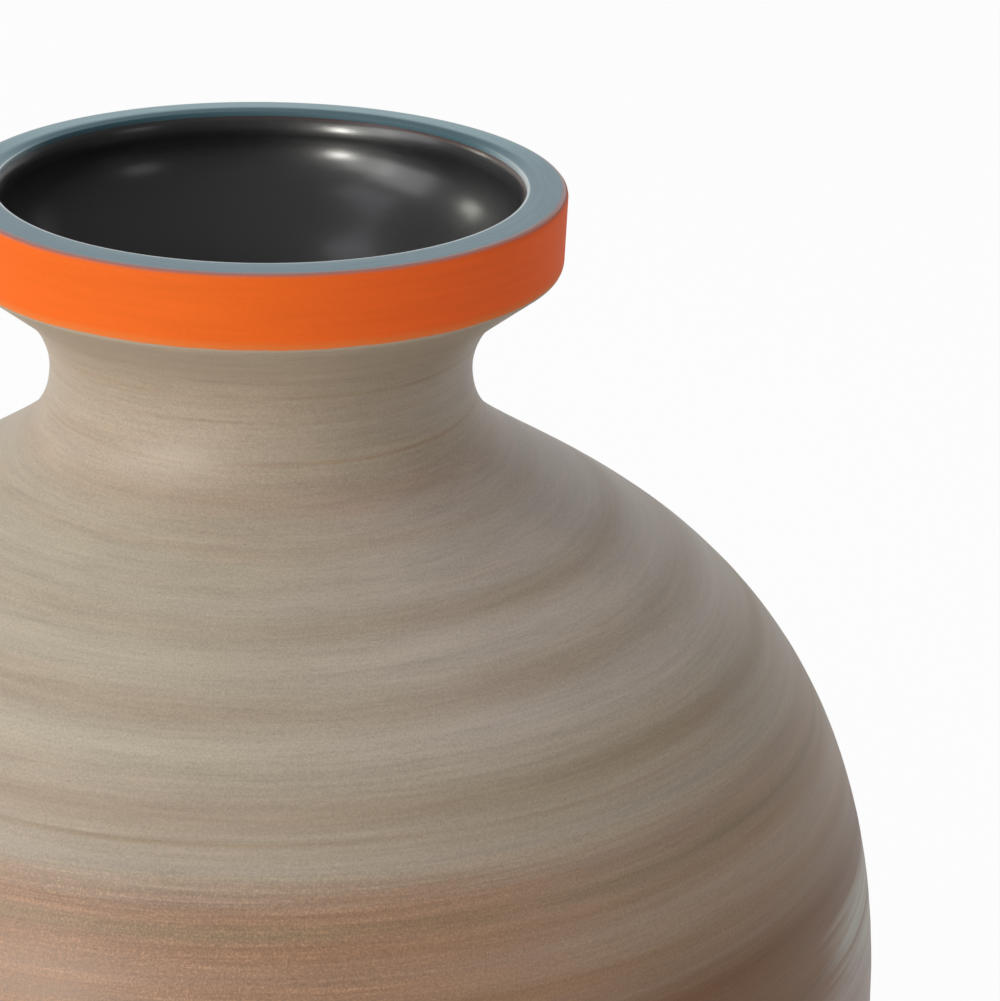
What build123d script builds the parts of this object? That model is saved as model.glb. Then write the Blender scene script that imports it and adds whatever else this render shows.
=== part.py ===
# Hydria jar: a wide, high-shouldered stoneware jar with a flanged rim and a flat lip.
# It is thrown in sections, which are luted into one wall with slip in V-shaped grooves,
# then finished with a glaze lining, a painted lip and an orange band round the rim.
# Millimetres, +Z up. The origin is the centre of the plane that the foot rests on.

import math
import os

from build123d import *

# Rim and mouth: sizes of the bare clay, and how far the rim stands out past the neck
lip_height = 469.5
rim_overhang = 27.0
rim_height = 21.6
rim_draft = 0.7
rim_edge_radius = 1.2
rim_corner_radius = 2.4
lip_width = 11.0
lip_round_radius = 0.5
mouth_depth = 7.0

# Neck: its narrowest circle, the round it curves in and the slopes it runs out to
neck_radius = 62.6
neck_curve_radius = 28.0
underside_angle = 52.7
shoulder_angle = 50.0

# Belly: its widest circle
belly_radius = 192.0
belly_height = 213.0

# Foot ring, and the slope at which the underbelly meets it
foot_height = 12.0
foot_radius = 94.0
foot_flare = 3.0
foot_width = 13.0
foot_edge_radius = 1.5
heel_angle = 50.0

# Clay wall and floor
wall_thickness = 9.0
floor_thickness = 11.0
floor_round_radius = 14.0

# Joints between the thrown sections: their groove, the slip in it and how far they are cut
groove_depth = 3.0
slip_thickness = 0.8
joint_reach = 4.0

# Coats: the paint on lip and band, and the glaze inside
paint_thickness = 0.5
band_top_turn = 0.7
band_lower_turn = 1.6
lip_paint_drop = 1.2
bare_line_width = 0.5
glaze_thickness = 0.7

# How far a cutting outline reaches past what it cuts
overrun = 20.0

# Lengths of the curves' end handles, as shares of the height that each curve spans
shoulder_handle_shares = (0.235, 0.736)
underbelly_handle_shares = (0.38, 0.42)
funnel_handle_shares = (0.42, 0.46)

# Where a joint lies on its stretch of the outer surface, as a share of it from the top
rim_joint_share = 0.7
neck_joint_share = 0.018
shoulder_joint_share = 0.512
belly_joint_share = 0.074
base_joint_share = 0.79

# Where a groove's two edges lie across the wall, from the outer side to the inner
groove_edge_shares = (0.28, 0.72)

# In how many stretches a curve is followed when it is moved sideways
inset_stretches = 10

# What follows from these: the rim's radius, and the mouth's inside the lip
rim_radius = neck_radius + rim_overhang
mouth_radius = rim_radius - lip_width


def point(radius, height):
    """A point of the section plane."""
    return Vector(radius, 0, height)


def heading(angle):
    """The downward direction that leans outwards by an angle from the vertical."""
    lean = math.radians(angle)
    return Vector(math.sin(lean), 0, -math.cos(lean))


def beside(direction):
    """The direction that lies towards the axis from one that runs downwards."""
    return Vector(direction.Z, 0, -direction.X)


def inset(curve, depth):
    """A downward curve moved by depth towards the axis, square to itself."""
    if depth == 0:
        return curve
    shares = [step / inset_stretches for step in range(inset_stretches + 1)]
    moved = [curve @ share + beside(curve % share) * depth for share in shares]
    return Spline(*moved, tangents=[curve % 0, curve % 1], tangent_scalars=[1, 1])


def crossing(start, direction, other_start, other_direction):
    """The point where two straight lines of the section plane meet."""
    apart = other_start - start
    turn = direction.X * other_direction.Z - direction.Z * other_direction.X
    reach = (apart.X * other_direction.Z - apart.Z * other_direction.X) / turn
    return start + direction * reach


def outline_face(*corners):
    """A flat face of the section plane with straight sides between its corners."""
    return make_face(Polyline(*corners, close=True))


def handled_curve(start, start_angle, end, end_angle, handle_shares):
    """A downward curve with a set slope at both ends."""
    drop = start.Z - end.Z
    start_handle = heading(start_angle) * (drop * handle_shares[0])
    end_handle = heading(end_angle) * (drop * handle_shares[1])
    return Bezier(start, start + start_handle, end - end_handle, end)


def neck_level():
    """The height of the neck's narrowest circle, whose round runs up into the underside."""
    lean = math.radians(underside_angle)
    round_end = neck_radius + neck_curve_radius * (1 - math.cos(lean))
    underside_rise = (rim_radius - rim_draft - round_end) / math.tan(lean)
    return lip_height - rim_height - underside_rise - neck_curve_radius * math.sin(lean)


def neck_point(depth, angle):
    """A point of the neck's round, at an angle above its narrowest circle."""
    reach = neck_curve_radius + depth
    across = reach * math.cos(math.radians(angle))
    up = reach * math.sin(math.radians(angle))
    return point(neck_radius + neck_curve_radius - across, neck_level() + up)


def neck_round(depth, upper_angle):
    """The neck's round from an upper angle down to where the shoulder begins."""
    middle_angle = (upper_angle - shoulder_angle) / 2
    return ThreePointArc(
        neck_point(depth, upper_angle),
        neck_point(depth, middle_angle),
        neck_point(depth, -shoulder_angle),
    )


# The curves below the neck, on the outer surface
widest = point(belly_radius, belly_height)
heel = point(foot_radius, foot_height)
shoulder_curve = handled_curve(
    neck_point(0, -shoulder_angle), shoulder_angle, widest, 0, shoulder_handle_shares
)
underbelly_curve = handled_curve(widest, 0, heel, -heel_angle, underbelly_handle_shares)

# The funnel from the mouth to the throat, on the inner clay surface
mouth_low = point(mouth_radius, lip_height - mouth_depth)
throat = neck_point(wall_thickness, 0)
funnel_curve = handled_curve(mouth_low, 0, throat, 0, funnel_handle_shares)


def rim_line(depth):
    """The outline from the axis across the lip and round the rim to the neck."""
    top_edge = point(rim_radius, lip_height)
    low_edge = point(rim_radius - rim_draft, lip_height - rim_height)
    down = (low_edge - top_edge).normalized()
    wall_point = top_edge + beside(down) * depth
    top_point = point(0, lip_height - depth)
    neck_end = neck_point(depth, underside_angle)
    return FilletPolyline(
        top_point,
        crossing(top_point, Vector(1, 0, 0), wall_point, down),
        crossing(wall_point, down, neck_end, heading(-underside_angle)),
        neck_end,
        radius=[rim_edge_radius - depth, rim_corner_radius - depth],
    )


def outer_curves(depth):
    """The outer surface from the neck down to the foot, moved inwards by depth."""
    return [
        neck_round(depth, underside_angle),
        inset(shoulder_curve, depth),
        inset(underbelly_curve, depth),
    ]


def inner_curves(depth):
    """The inner surface from the mouth down, moved into the hollow by depth."""
    below = wall_thickness + depth
    return [
        inset(funnel_curve, depth),
        neck_round(below, 0),
        inset(shoulder_curve, below),
        inset(underbelly_curve, below),
    ]


def filled_face(depth):
    """The section of the whole jar without its foot ring, filled to the axis."""
    curves = outer_curves(depth)
    low = curves[-1] @ 1
    closing = Polyline(low, point(0, low.Z), point(0, lip_height - depth))
    return make_face([*rim_line(depth).edges(), *curves, *closing.edges()])


def hollow_face(depth):
    """The section of the hollow, run out past the lip, with a round at the floor."""
    curves = inner_curves(depth)
    mouth = curves[0] @ 0
    low = curves[-1] @ 1
    top = lip_height + overrun
    closing = Polyline(low, point(0, low.Z), point(0, top), point(mouth.X, top), mouth)
    inside = make_face([*curves, *closing.edges()])
    floor_height = foot_height + floor_thickness + depth
    hollow = inside & outline_face(
        point(0, floor_height),
        point(belly_radius, floor_height),
        point(belly_radius, top),
        point(0, top),
    )
    corner = hollow.vertices().group_by(Axis.Z)[0].sort_by(Axis.X)[-1]
    return fillet(corner, floor_round_radius - depth)


def wall_face(depth):
    """The section of the clay wall, or of the wall with a coat where depth is below zero."""
    wall = filled_face(depth) - hollow_face(-depth)
    corner = wall.vertices().group_by(Axis.Z)[-1].sort_by(Axis.X)[0]
    return fillet(corner, lip_round_radius - depth)


def joint_line(curve, share, rise=0):
    """A joint from outside the wall to the axis, square to the wall, with its groove.

    The rise moves the line up along the wall, as the slip in the joint lifts a section.
    """
    along = curve % share
    across = beside(along)
    start = curve @ share - along * rise
    outer_end = start - across * joint_reach
    inner_end = start + across * (wall_thickness + joint_reach)
    return [
        point(belly_radius + overrun, outer_end.Z),
        outer_end,
        start + across * (wall_thickness * groove_edge_shares[0]),
        start + across * (wall_thickness / 2) + along * groove_depth,
        start + across * (wall_thickness * groove_edge_shares[1]),
        inner_end,
        point(0, inner_end.Z),
    ]


def between(low_line, high_line):
    """The face between two joint lines, from the axis to outside the wall."""
    return outline_face(*low_line, *reversed(high_line))


def turned(section):
    """The solid of revolution of a section."""
    return revolve(section, Axis.Z)


def clay_sections():
    """The thrown sections from base to rim, and the slip between them."""
    wall = wall_face(0)
    top = lip_height + overrun
    below_all = [point(belly_radius + overrun, 0), point(0, 0)]
    above_all = [point(belly_radius + overrun, top), point(0, top)]
    seams = {
        "base_seam": (underbelly_curve, base_joint_share),
        "belly_seam": (underbelly_curve, belly_joint_share),
        "shoulder_seam": (shoulder_curve, shoulder_joint_share),
        "neck_seam": (shoulder_curve, neck_joint_share),
        "rim_seam": (rim_line(0).edges()[-1], rim_joint_share),
    }
    under_slip = [joint_line(*place) for place in seams.values()]
    over_slip = [joint_line(*place, slip_thickness) for place in seams.values()]
    names = ["base", "lower_belly", "upper_belly", "shoulder", "neck", "rim"]
    pieces = {}
    for name, low, high in zip(names, [below_all, *over_slip], [*under_slip, above_all]):
        pieces[name] = turned(wall & between(low, high))
    for name, low, high in zip(seams, under_slip, over_slip):
        pieces[name] = turned(wall & between(low, high))
    return pieces


def foot_pieces():
    """The foot ring, and the slip that holds it under the base."""
    ring_top = foot_height - slip_thickness
    bottom_radius = foot_radius + foot_flare
    top_radius = bottom_radius - foot_flare * ring_top / foot_height
    ring = outline_face(
        point(bottom_radius, 0),
        point(top_radius, ring_top),
        point(top_radius - foot_width, ring_top),
        point(bottom_radius - foot_width, 0),
    )
    ring = fillet(ring.vertices().group_by(Axis.Z)[0], foot_edge_radius)
    seam = outline_face(
        point(top_radius, ring_top),
        point(foot_radius, foot_height),
        point(foot_radius - foot_width, foot_height),
        point(top_radius - foot_width, ring_top),
    )
    return {"foot_ring": turned(ring), "foot_seam": turned(seam)}


def coats():
    """The paint on lip and band, and the glaze lining."""
    paint = wall_face(-paint_thickness) - wall_face(0)
    top = lip_height + overrun
    split_radius = rim_radius + paint_thickness - band_top_turn
    lower_radius = rim_radius - rim_draft - band_lower_turn
    band_floor = lip_height - rim_height - overrun
    band_zone = outline_face(
        point(split_radius, top),
        point(split_radius, lip_height - rim_edge_radius),
        point(lower_radius, lip_height - rim_height),
        point(lower_radius, band_floor),
        point(belly_radius, band_floor),
        point(belly_radius, top),
    )
    lip_zone = outline_face(
        point(0, top),
        point(split_radius, top),
        point(split_radius, lip_height - rim_edge_radius),
        point(mouth_radius + lip_round_radius, lip_height - lip_paint_drop),
        point(0, lip_height - lip_paint_drop),
    )
    glaze_top = lip_height - lip_paint_drop - bare_line_width
    glaze_zone = outline_face(
        point(0, 0),
        point(belly_radius, 0),
        point(belly_radius, glaze_top),
        point(0, glaze_top),
    )
    return {
        "orange_band": turned(paint & band_zone),
        "lip_paint": turned(paint & lip_zone),
        "glaze_lining": turned((hollow_face(0) - hollow_face(glaze_thickness)) & glaze_zone),
    }


os.makedirs("parts", exist_ok=True)
for name, piece in {**clay_sections(), **foot_pieces(), **coats()}.items():
    export_step(piece, f"parts/{name}.step")
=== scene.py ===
"""Dresses the jar: brushed slip coats, painted rim, black glaze lining and a white studio.

Metres, +Z up, in the frame of the clay sections. A place round the jar is told by how far
it lies to the right and to the back, each from -1 to 1 as seen from the camera's side.
"""

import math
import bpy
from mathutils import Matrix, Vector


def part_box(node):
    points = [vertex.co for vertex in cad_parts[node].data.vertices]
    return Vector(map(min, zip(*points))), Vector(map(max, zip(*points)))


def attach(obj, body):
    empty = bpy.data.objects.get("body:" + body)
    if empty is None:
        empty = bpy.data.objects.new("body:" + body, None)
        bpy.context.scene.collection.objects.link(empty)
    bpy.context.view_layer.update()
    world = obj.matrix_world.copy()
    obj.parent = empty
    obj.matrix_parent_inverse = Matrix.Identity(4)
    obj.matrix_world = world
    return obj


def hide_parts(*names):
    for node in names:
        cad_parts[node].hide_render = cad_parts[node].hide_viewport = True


bl_info = {
    "name": "Jar Dresser",
    "version": (1, 0, 0),
    "blender": (4, 5, 0),
    "location": "3D View > Sidebar > Jar",
    "description": "Coats, paints and glazes a wide jar thrown in sections",
    "category": "Object",
}

from collections import namedtuple

import bpy
from bpy.props import FloatProperty, FloatVectorProperty, IntProperty, PointerProperty
from mathutils import Matrix, Vector

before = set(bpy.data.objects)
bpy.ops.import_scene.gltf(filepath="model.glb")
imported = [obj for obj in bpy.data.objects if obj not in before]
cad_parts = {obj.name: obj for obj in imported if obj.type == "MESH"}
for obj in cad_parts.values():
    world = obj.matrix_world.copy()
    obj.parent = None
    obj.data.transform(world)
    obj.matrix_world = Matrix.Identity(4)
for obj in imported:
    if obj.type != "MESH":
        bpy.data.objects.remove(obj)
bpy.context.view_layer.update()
rim_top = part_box("rim")[1]
belly_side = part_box("upper_belly")[1]
foot_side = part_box("foot_ring")[1]

# Lengths of the curves' end handles, as shares of the height that each curve spans
shoulder_handle_shares = (0.235, 0.736)
underbelly_handle_shares = (0.38, 0.42)
funnel_handle_shares = (0.42, 0.46)

# Where the round of the lip's inner edge starts, as a share of the paint's lift past the wall
lip_edge_share = 0.7

# How much of the floor's round the lining's bevel takes
floor_bevel_share = 0.6

# Grain of the throwing ridges along each axis
ridge_grain = (0.3, 0.3, 0.009)


def length(name, description, default):
    """A size in metres for the panel."""
    return FloatProperty(
        name=name, description=description, default=default, min=0, precision=5, unit="LENGTH"
    )


def angle(name, description, degrees):
    """An angle for the panel, given in degrees."""
    return FloatProperty(
        name=name, description=description, default=math.radians(degrees), unit="ROTATION"
    )


def share(name, description, default):
    """A number from 0 to 1 for the panel."""
    return FloatProperty(
        name=name, description=description, default=default, min=0, max=1, subtype="FACTOR"
    )


def colour(name, description, default):
    """A linear colour for the panel."""
    return FloatVectorProperty(
        name=name, description=description, default=default, min=0, max=1, subtype="COLOR"
    )


class JarSizes(bpy.types.PropertyGroup):
    """Sizes of the clay that the coats follow, and of the coats."""

    lip_height: length("Lip height", "Top of the bare clay", rim_top.z)
    rim_radius: length("Rim radius", "Widest circle of the bare rim", rim_top.x)
    rim_height: length("Rim height", "From the lip down to the rim's lower corner", 0.0216)
    rim_draft: length("Rim draft", "How far the rim's wall leans in over its height", 0.0007)
    rim_edge: length("Rim edge", "Round of the rim's upper edge", 0.0012)
    rim_corner: length("Rim corner", "Round of the rim's lower corner", 0.0024)
    lip_width: length("Lip width", "Width of the flat lip", 0.011)
    lip_flat: length("Lip flat", "How wide the lip is level, from the rim's edge", 0.0048)
    lip_fall: length("Lip fall", "How far the lip falls from there to its inner edge", 0.00015)
    lip_round: length("Lip round", "Round of the lip's inner edge", 0.0005)
    mouth_depth: length("Mouth depth", "Straight wall inside the lip", 0.007)
    neck_radius: length("Neck radius", "Narrowest circle of the neck", 0.0626)
    neck_curve: length("Neck curve", "Radius of the neck's hollow round", 0.028)
    underside_angle: angle("Underside angle", "Lean of the rim's underside", 52.7)
    shoulder_angle: angle("Shoulder angle", "Lean where the shoulder leaves the neck", 50)
    belly_radius: length("Belly radius", "Widest circle", belly_side.x)
    belly_height: length("Belly height", "Height of the widest circle", 0.213)
    foot_height: length("Foot height", "Where the underbelly ends", 0.012)
    foot_radius: length("Foot radius", "Where the underbelly meets the foot", 0.094)
    foot_width: length("Foot width", "Width of the foot ring", 0.013)
    foot_edge: length("Foot edge", "Round of the foot ring's lower edges", 0.0022)
    heel_angle: angle("Heel angle", "Lean of the underbelly at the foot", 50)
    wall: length("Wall", "Thickness of the clay wall", 0.009)
    floor: length("Floor", "Thickness of the clay floor", 0.011)
    floor_round: length("Floor round", "Round inside at the floor", 0.014)
    coat_lift: length("Coat lift", "How far the brushed coat stands out", 0.0004)
    paint_lift: length("Paint lift", "How far the paint stands out", 0.0006)
    glaze_lift: length("Glaze lift", "How far the glaze stands out", 0.0007)
    glaze_bead: length("Glaze bead", "How far the glaze's upper edge swells out", 0.0011)
    sunk: length("Sunk", "How far a coat's hidden side lies in the clay", 0.0001)
    ridge_height: length("Ridge height", "Height of the throwing ridges in the coat", 0.00022)
    edge_wander: length("Edge wander", "How far a painted edge strays", 0.0005)
    band_top: angle("Band top", "Where the band starts on the rim's upper round", 54)
    band_low: angle("Band end", "Where it ends on the rim's lower round", -32)
    lip_drop: length("Lip drop", "How far the lip's paint runs down inside", 0.0012)
    bare_line: length("Bare line", "Clay left bare between paint and glaze", 0.0003)
    ring_spacing: length("Ring spacing", "Distance between a coat's rings", 0.0015)
    turn_steps: IntProperty(
        name="Turn steps", description="Steps of each turned piece", default=256, min=32
    )


class JarSlips(bpy.types.PropertyGroup):
    """Colours of the brushed slips, from the neck to the foot."""

    neck: colour("Neck", "Warm buff of the neck", (0.4, 0.32, 0.238))
    sand: colour("Sand", "Warm buff above the rust", (0.39, 0.317, 0.24))
    buff: colour("Buff", "Buff of the shoulder", (0.434, 0.38, 0.293))
    rust: colour("Rust", "Rust below the shoulder", (0.35, 0.204, 0.125))
    taupe: colour("Taupe", "What the rust fades to on the right", (0.342, 0.242, 0.168))
    brown: colour("Brown", "Brown of the belly", (0.178, 0.083, 0.032))
    plum: colour("Plum", "Purple grey at the widest circle", (0.272, 0.194, 0.16))
    umber: colour("Umber", "Umber towards the foot", (0.2, 0.142, 0.117))
    # Painted sheen: pale lavender far to the right, where the jar's edge catches the white behind
    # it
    painted_sheen_lavender: colour("Lavender", "The pale brushing far to the right", (0.35, 0.325, 0.272))


class JarPaints(bpy.types.PropertyGroup):
    """Colours of paint, glaze and bare clay."""

    orange: colour("Orange", "The band round the rim", (0.78, 0.129, 0.011))
    blue: colour("Blue grey", "The lip", (0.1, 0.2, 0.245))
    mauve: colour("Mauve", "Where blue and orange run into each other", (0.36, 0.17, 0.15))
    # Painted shade: the band's orange turns redder towards the right, away from the warm key light
    painted_shade_vermilion: colour("Vermilion", "The band away from the key light", (0.82, 0.117, 0.018))
    ochre: colour("Ochre", "The band's thin lower edge", (0.62, 0.24, 0.07))
    # Worn paint and a painted highlight on the lip's inner edge at the front
    worn_highlight_blue: colour("Pale blue", "The lip's paint where it wears thin", (0.6, 0.67, 0.69))
    # Painted shade: the lip's inner half at the back, where it mirrors the dim room
    painted_shade_blue: colour("Deep blue", "The lip's inner half at the back", (0.025, 0.08, 0.108))
    glaze: colour("Glaze", "The black lining", (0.0045, 0.0043, 0.006))
    glaze_break: colour("Glaze break", "The glaze where it thins at its edge", (0.08, 0.036, 0.025))
    clay: colour("Clay", "Bare fired clay", (0.5, 0.36, 0.26))
    luting: colour("Luting", "Fired joining slip", (0.42, 0.36, 0.29))


class JarStudio(bpy.types.PropertyGroup):
    """Camera, room and floor."""

    camera_place: FloatVectorProperty(
        name="Camera", description="Its place", default=(0, -1.13411, 0.8052), unit="LENGTH"
    )
    camera_yaw: angle("Yaw", "Turn of the camera to the right", 3.6488)
    camera_pitch: angle("Pitch", "Tilt of the camera downwards", 20.9541)
    camera_roll: angle("Roll", "Roll of the camera", 1.3991)
    lens: FloatProperty(
        name="Lens", description="Focal length", default=144.247, min=1, unit="CAMERA"
    )
    room_low: share("Room low", "Level of the room's light at the horizon", 0.3)
    room_high: share("Room high", "Level of the room's light from above", 0.63)
    room_right: share("Room right", "What of it is left on the right", 0.67)
    room_mirrored: share("Room mirrored", "What of it the glaze mirrors", 0.58)
    floor_glow: share("Floor glow", "Share of white in what the floor sheds", 0.4)
    floor_seen: share("Floor seen", "Share of white in the floor as it is seen", 0.95)
    floor_size: length("Floor size", "Side of the floor", 14)


def place(radius, height):
    """A point of the section plane."""
    return Vector((radius, 0, height))


def aimed(turn, rise):
    """The direction that turns right from +Y by one angle and rises by another."""
    level = math.cos(rise)
    return Vector((math.sin(turn) * level, math.cos(turn) * level, math.sin(rise)))


def heading(lean):
    """The downward direction that leans outwards by an angle from the vertical."""
    return Vector((math.sin(lean), 0, -math.cos(lean)))


def beside(direction):
    """The direction that lies towards the axis from one that runs downwards."""
    return Vector((direction.z, 0, -direction.x))


Stretch = namedtuple("Stretch", "start start_handle end_handle end")


def straight(start, end):
    """A straight stretch of an outline."""
    return Stretch(start, start.lerp(end, 1 / 3), start.lerp(end, 2 / 3), end)


def bow(start, start_direction, end, end_direction):
    """A curved stretch of an outline, whose directions are as long as its handles."""
    return Stretch(start, start + start_direction, end - end_direction, end)


def swing(start, start_lean, end, end_lean, shares):
    """A curved stretch between two leans, whose handles are shares of its height."""
    fall = start.z - end.z
    first = heading(start_lean) * (fall * shares[0])
    return bow(start, first, end, heading(end_lean) * (fall * shares[1]))


def closed(outside, inside):
    """An outline closed behind its outside through points of its hidden side."""
    corners = [outside[-1].end, *inside, outside[0].start]
    return [*outside, *(straight(a, b) for a, b in zip(corners, corners[1:]))]


def on_round(centre, radius, turn):
    """The point of a round at a turn above the level."""
    return centre + Vector((math.cos(turn), 0, math.sin(turn))) * radius


def arc(centre, radius, start_turn, end_turn):
    """A round of an outline about a centre, in stretches of at most 60 degrees."""
    count = math.ceil(abs(end_turn - start_turn) / math.radians(60))
    step = (end_turn - start_turn) / count
    reach = 4 / 3 * math.tan(step / 4) * radius
    stretches = []
    for index in range(count):
        turns = (start_turn + step * index, start_turn + step * (index + 1))
        ends = [on_round(centre, radius, t) for t in turns]
        along = [Vector((-math.sin(t), 0, math.cos(t))) * reach for t in turns]
        stretches.append(bow(ends[0], along[0], ends[1], along[1]))
    return stretches


def bend_at_start(stretch):
    """How sharply a stretch bends at its start, positive towards the axis."""
    first = stretch.start_handle - stretch.start
    second = stretch.end_handle - stretch.start_handle
    turn = first.z * second.x - first.x * second.z
    return -2 / 3 * turn / first.length**3


def moved(stretch, depth):
    """A stretch moved towards the axis, square to itself."""
    back = Stretch(*reversed(stretch))
    first = stretch.start_handle - stretch.start
    last = stretch.end - stretch.end_handle
    start = stretch.start + beside(first.normalized()) * depth
    end = stretch.end + beside(last.normalized()) * depth
    return bow(
        start,
        first * (1 - depth * bend_at_start(stretch)),
        end,
        last * (1 + depth * bend_at_start(back)),
    )


def halves(stretch):
    """A stretch as two that meet at its middle."""
    a = stretch.start.lerp(stretch.start_handle, 0.5)
    b = stretch.start_handle.lerp(stretch.end_handle, 0.5)
    c = stretch.end_handle.lerp(stretch.end, 0.5)
    d = a.lerp(b, 0.5)
    e = b.lerp(c, 0.5)
    middle = d.lerp(e, 0.5)
    return [Stretch(stretch.start, a, d, middle), Stretch(middle, e, c, stretch.end)]


def corner_centre(corner, direction_in, direction_out, radius):
    """The centre of the round at a corner of the clay, and the turns of its two ends."""
    turn = direction_in.angle(direction_out)
    start = corner - direction_in * (radius * math.tan(turn / 2))
    outward = -beside(direction_in)
    start_turn = math.atan2(outward.z, outward.x)
    return start - outward * radius, start_turn, start_turn - turn


def rim_wall_direction(jar):
    """The direction down the rim's wall."""
    return Vector((-jar.rim_draft, 0, -jar.rim_height)).normalized()


def rim_low_corner(jar):
    """The rim's lower corner before it is rounded."""
    return place(jar.rim_radius - jar.rim_draft, jar.lip_height - jar.rim_height)


def rim_edge(jar):
    """The round of the rim's upper edge: its centre and the turns of its ends."""
    corner = place(jar.rim_radius, jar.lip_height)
    return corner_centre(corner, Vector((1, 0, 0)), rim_wall_direction(jar), jar.rim_edge)


def rim_low_edge(jar):
    """The round of the rim's lower edge: its centre and the turns of its ends."""
    under = heading(-jar.underside_angle)
    return corner_centre(rim_low_corner(jar), rim_wall_direction(jar), under, jar.rim_corner)


def rim_wall_point(jar, height, lift):
    """A point of the rim's wall at a height, lifted off the clay."""
    down = rim_wall_direction(jar)
    fall = (jar.lip_height - height) / -down.z
    return place(jar.rim_radius, jar.lip_height) + down * fall - beside(down) * lift


def neck_centre(jar):
    """The centre of the neck's hollow round, which runs up into the rim's underside."""
    radius = jar.neck_radius + jar.neck_curve
    out = -beside(heading(-jar.underside_angle))
    corner = rim_low_corner(jar)
    top_radius = radius - jar.neck_curve * math.cos(jar.underside_angle)
    along = (corner.x - top_radius) / math.sin(jar.underside_angle)
    top = corner + heading(-jar.underside_angle) * along
    return top + out * jar.neck_curve


def neck_arc(jar, depth, upper_angle):
    """The neck's hollow round from an angle above its narrowest circle to the shoulder."""
    return arc(
        neck_centre(jar),
        jar.neck_curve + depth,
        math.pi - upper_angle,
        math.pi + jar.shoulder_angle,
    )


def body_stretches(jar, depth):
    """The shoulder and the underbelly, moved towards the axis."""
    shoulder_start = neck_arc(jar, 0, 0)[-1].end
    widest = place(jar.belly_radius, jar.belly_height)
    heel = place(jar.foot_radius, jar.foot_height)
    shoulder = swing(shoulder_start, jar.shoulder_angle, widest, 0, shoulder_handle_shares)
    underbelly = swing(widest, 0, heel, -jar.heel_angle, underbelly_handle_shares)
    return [moved(half, depth) for part in (shoulder, underbelly) for half in halves(part)]


def outer_stretches(jar, lift, top):
    """The outer surface from a height on the rim's wall down to the foot."""
    centre, wall_turn, under_turn = rim_low_edge(jar)
    corner = arc(centre, jar.rim_corner + lift, wall_turn, under_turn)
    neck = neck_arc(jar, -lift, jar.underside_angle)
    wall = straight(rim_wall_point(jar, top, lift), corner[0].start)
    underside = straight(corner[-1].end, neck[0].start)
    return [wall, *corner, underside, *neck, *body_stretches(jar, -lift)]


def leave_all():
    """Deselects every object."""
    if bpy.context.object and bpy.context.object.mode != "OBJECT":
        bpy.ops.object.mode_set(mode="OBJECT")
    bpy.ops.object.select_all(action="DESELECT")


def choose(*pieces):
    """Selects pieces alone and makes the first active."""
    leave_all()
    for piece in pieces:
        piece.select_set(True)
    bpy.context.view_layer.objects.active = pieces[0]


def edit(piece, mode="VERT"):
    """Opens a piece in edit mode with nothing selected."""
    choose(piece)
    bpy.ops.object.mode_set(mode="EDIT")
    bpy.ops.mesh.select_mode(type=mode)
    bpy.ops.mesh.select_all(action="DESELECT")


def select_where(piece, test, kind="polygons"):
    """Selects the faces, or the edges, whose middle passes a test, in edit mode."""
    bpy.ops.object.mode_set(mode="OBJECT")
    mesh = piece.data
    for element in getattr(mesh, kind):
        corners = [mesh.vertices[index].co for index in element.vertices]
        element.select = test(sum(corners, Vector()) / len(corners))
    bpy.ops.object.mode_set(mode="EDIT")


def outline(name, stretches, spacing):
    """An outline in the section plane as a chain of edges."""
    parts = []
    for stretch in stretches:
        leave_all()
        bpy.ops.curve.primitive_bezier_curve_add()
        curve = bpy.context.object
        first, last = curve.data.splines[0].bezier_points
        for knot in (first, last):
            knot.handle_left_type = "FREE"
            knot.handle_right_type = "FREE"
        first.co = stretch.start
        first.handle_right = stretch.start_handle
        last.co = stretch.end
        last.handle_left = stretch.end_handle
        run = sum((b - a).length for a, b in zip(stretch, stretch[1:]))
        curve.data.resolution_u = max(1, round(run / spacing))
        bpy.ops.object.convert(target="MESH")
        parts.append(bpy.context.object)
    choose(*parts)
    bpy.ops.object.join()
    piece = bpy.context.object
    piece.name = name
    piece.data.name = name
    return piece


def turn(piece, inside=False):
    """Spins an outline about the jar's axis into a skin that faces outwards, or inwards."""
    jar = bpy.context.scene.jar_sizes
    edit(piece)
    bpy.ops.mesh.select_all(action="SELECT")
    bpy.ops.mesh.remove_doubles(threshold=jar.sunk / 10)
    bpy.ops.mesh.spin(steps=jar.turn_steps, angle=math.tau, center=(0, 0, 0), axis=(0, 0, 1))
    bpy.ops.mesh.select_all(action="SELECT")
    bpy.ops.mesh.remove_doubles(threshold=jar.sunk / 10)
    bpy.ops.mesh.normals_make_consistent(inside=inside)
    bpy.ops.object.mode_set(mode="OBJECT")
    return piece


def apply_modifier(piece, kind, **settings):
    """Adds a modifier, sets it and applies it."""
    choose(piece)
    modifier = piece.modifiers.new(kind.lower(), kind)
    for key, value in settings.items():
        setattr(modifier, key, value)
    bpy.ops.object.modifier_apply(modifier=modifier.name)


def ruffle(piece, name, height, grain):
    """Displaces a piece by a cloudy pattern whose grain is a size along each axis."""
    leave_all()
    bpy.ops.object.empty_add()
    guide = bpy.context.object
    guide.scale = grain
    bpy.context.view_layer.update()
    clouds = bpy.data.textures.new(name, "CLOUDS")
    clouds.noise_scale = 1
    clouds.noise_depth = 2
    apply_modifier(
        piece,
        "DISPLACE",
        texture=clouds,
        texture_coords="OBJECT",
        texture_coords_object=guide,
        strength=height,
    )
    bpy.data.textures.remove(clouds)
    choose(guide)
    bpy.ops.object.delete()


def thicken(piece, thickness):
    """Gives a skin a thickness behind its face."""
    apply_modifier(piece, "SOLIDIFY", thickness=thickness, offset=-1)


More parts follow.
